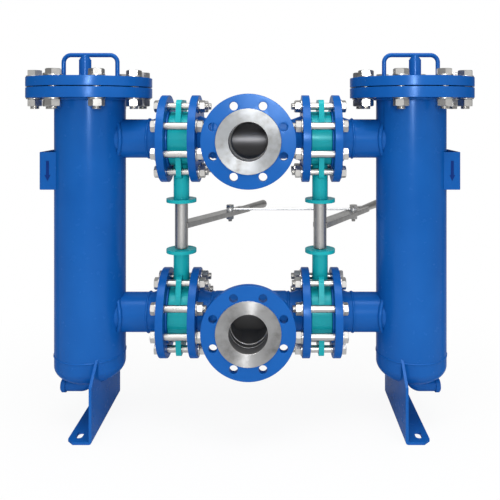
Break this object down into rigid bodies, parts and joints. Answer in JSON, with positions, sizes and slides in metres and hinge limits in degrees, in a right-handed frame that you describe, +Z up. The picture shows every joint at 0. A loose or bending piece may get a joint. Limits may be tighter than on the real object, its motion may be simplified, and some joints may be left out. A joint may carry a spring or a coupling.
{
  "type": "duplex basket strainer",
  "caption": "Duplex pipeline strainer: twin vertical basket vessels between an upper and a lower header, with linked wafer butterfly valves for changeover.",
  "frame": {"origin": "centre of the inlet flange's bolting face, 3 mm behind its raised sealing face", "axes": "+Z up along the vessels, +X to the right from vessel to vessel, +Y to the back; the front flanges face -Y"},
  "size_m": [1.02, 0.4689, 0.8395],
  "materials": {
    "blue_paint": "semi-gloss industrial enamel over welded steel",
    "valve_paint": "powder-coated cast iron",
    "rubber_liner": "moulded black rubber",
    "gasket_sheet": "pressed fibre sheet",
    "bush_bronze": "turned bronze",
    "zinc_steel": "zinc-plated fasteners",
    "stainless_steel": "brushed stainless steel",
    "basket_steel": "perforated stainless steel sheet"
  },
  "bodies": {
    "root": {"basket_seats": "blue_paint", "clamp_bolts": "zinc_steel", "cover_gaskets": "gasket_sheet", "cover_nuts": "zinc_steel", "drain_elbows": "blue_paint", "drain_plugs": "blue_paint", "inlet_flange": "blue_paint", "left_body_flange": "blue_paint", "left_branch_pipes": "blue_paint", "left_dished_end": "blue_paint", "left_foot": "blue_paint", "left_lower_valve_body": "valve_paint", "left_plate_bracket": "blue_paint", "left_shell": "blue_paint", "left_upper_valve_body": "valve_paint", "lower_tee": "blue_paint", "outlet_flange": "blue_paint", "right_body_flange": "blue_paint", "right_branch_pipes": "blue_paint", "right_dished_end": "blue_paint", "right_foot": "blue_paint", "right_lower_valve_body": "valve_paint", "right_plate_bracket": "blue_paint", "right_shell": "blue_paint", "right_upper_valve_body": "valve_paint", "side_flanges": "blue_paint", "stem_bushes": "bush_bronze", "upper_tee": "blue_paint", "valve_seats": "rubber_liner"},
    "left_changeover": {"left_coupling_pins": "stainless_steel", "left_coupling_tube": "stainless_steel", "left_lever": "stainless_steel", "left_lever_grip": "stainless_steel", "left_link_bolt": "zinc_steel", "left_link_nut": "zinc_steel", "left_valve_discs": "stainless_steel", "left_valve_stems": "stainless_steel"},
    "right_changeover": {"right_coupling_pins": "stainless_steel", "right_coupling_tube": "stainless_steel", "right_lever": "stainless_steel", "right_lever_grip": "stainless_steel", "right_link_bolt": "zinc_steel", "right_link_nut": "zinc_steel", "right_valve_discs": "stainless_steel", "right_valve_stems": "stainless_steel"},
    "link_rod": {"link_rod": "stainless_steel"},
    "left_cover": {"left_cover": "blue_paint", "left_cover_bolts": "zinc_steel", "left_cover_handle": "blue_paint", "left_vent_plug": "blue_paint", "left_vent_stub": "blue_paint"},
    "right_cover": {"right_cover": "blue_paint", "right_cover_bolts": "zinc_steel", "right_cover_handle": "blue_paint", "right_vent_plug": "blue_paint", "right_vent_stub": "blue_paint"},
    "left_basket": {"left_basket_bail": "basket_steel", "left_basket_cage": "basket_steel"},
    "right_basket": {"right_basket_bail": "basket_steel", "right_basket_cage": "basket_steel"}
  },
  "joints": [
    {"name": "left_changeover_turn", "type": "hinge", "parent": "root", "child": "left_changeover", "pos_m": [-0.16, 0.141, -0.2], "axis": [0, 0, 1], "range_deg": [0, 90]},
    {"name": "right_changeover_turn", "type": "hinge", "parent": "root", "child": "right_changeover", "pos_m": [0.16, 0.141, -0.2], "axis": [0, 0, 1], "range_deg": [0, 90]},
    {"name": "link_rod_swing", "type": "hinge", "parent": "left_changeover", "child": "link_rod", "pos_m": [-0.06, 0.31421, -0.2], "axis": [0, 0, 1], "range_deg": [-90, 0]},
    {"name": "left_cover_lift", "type": "slide", "parent": "root", "child": "left_cover", "axis": [0, 0, 1], "range_m": [0, 0.7]},
    {"name": "left_basket_lift", "type": "slide", "parent": "root", "child": "left_basket", "axis": [0, 0, 1], "range_m": [0, 0.63]},
    {"name": "right_cover_lift", "type": "slide", "parent": "root", "child": "right_cover", "axis": [0, 0, 1], "range_m": [0, 0.7]},
    {"name": "right_basket_lift", "type": "slide", "parent": "root", "child": "right_basket", "axis": [0, 0, 1], "range_m": [0, 0.63]}
  ],
  "couplings": [
    {"joint": "right_changeover_turn", "follows": "left_changeover_turn", "ratio": 1},
    {"joint": "link_rod_swing", "follows": "left_changeover_turn", "ratio": -1},
    {"joint": "left_basket_lift", "follows": "left_cover_lift", "ratio": 0.9},
    {"joint": "right_basket_lift", "follows": "right_cover_lift", "ratio": 0.9}
  ]
}
